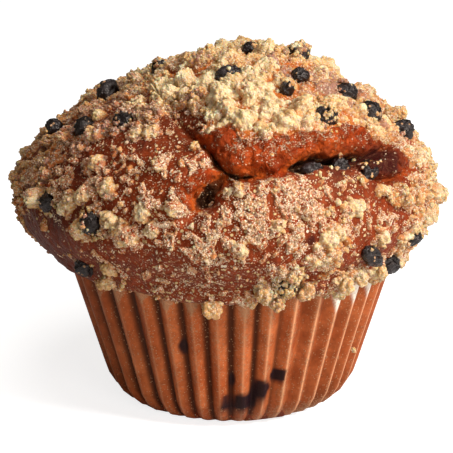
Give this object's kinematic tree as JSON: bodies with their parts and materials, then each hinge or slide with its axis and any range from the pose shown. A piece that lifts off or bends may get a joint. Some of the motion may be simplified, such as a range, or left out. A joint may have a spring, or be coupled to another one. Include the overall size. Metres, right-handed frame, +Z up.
{
  "type": "muffin",
  "caption": "Blueberry muffin with a cracked mushroom top and crumb topping, baked in a pleated paper case; stands on its flat base.",
  "frame": {"origin": "centre of the flat base of the paper case, where the muffin stands", "axes": "+Z up, -Y towards the front, +X to the right seen from the front"},
  "size_m": [0.0983, 0.0947, 0.0849],
  "materials": {
    "crust": "matte",
    "crumbs": "matte",
    "paper": "satin",
    "berry": "satin"
  },
  "bodies": {
    "root": {"cake": "crust", "paper_case": "paper", "berry_01": "berry", "berry_02": "berry", "berry_03": "berry", "berry_04": "berry", "berry_05": "berry", "berry_06": "berry", "berry_07": "berry", "berry_08": "berry", "berry_09": "berry", "berry_10": "berry", "berry_11": "berry", "berry_12": "berry", "berry_13": "berry", "berry_14": "berry", "berry_15": "berry", "berry_16": "berry", "berry_17": "berry", "berry_18": "berry", "berry_19": "berry", "berry_20": "berry", "berry_21": "berry", "berry_22": "berry", "berry_23": "berry", "berry_24": "berry", "berry_25": "berry", "berry_26": "berry", "berry_27": "berry", "berry_28": "berry", "berry_29": "berry"}
  },
  "joints": []
}
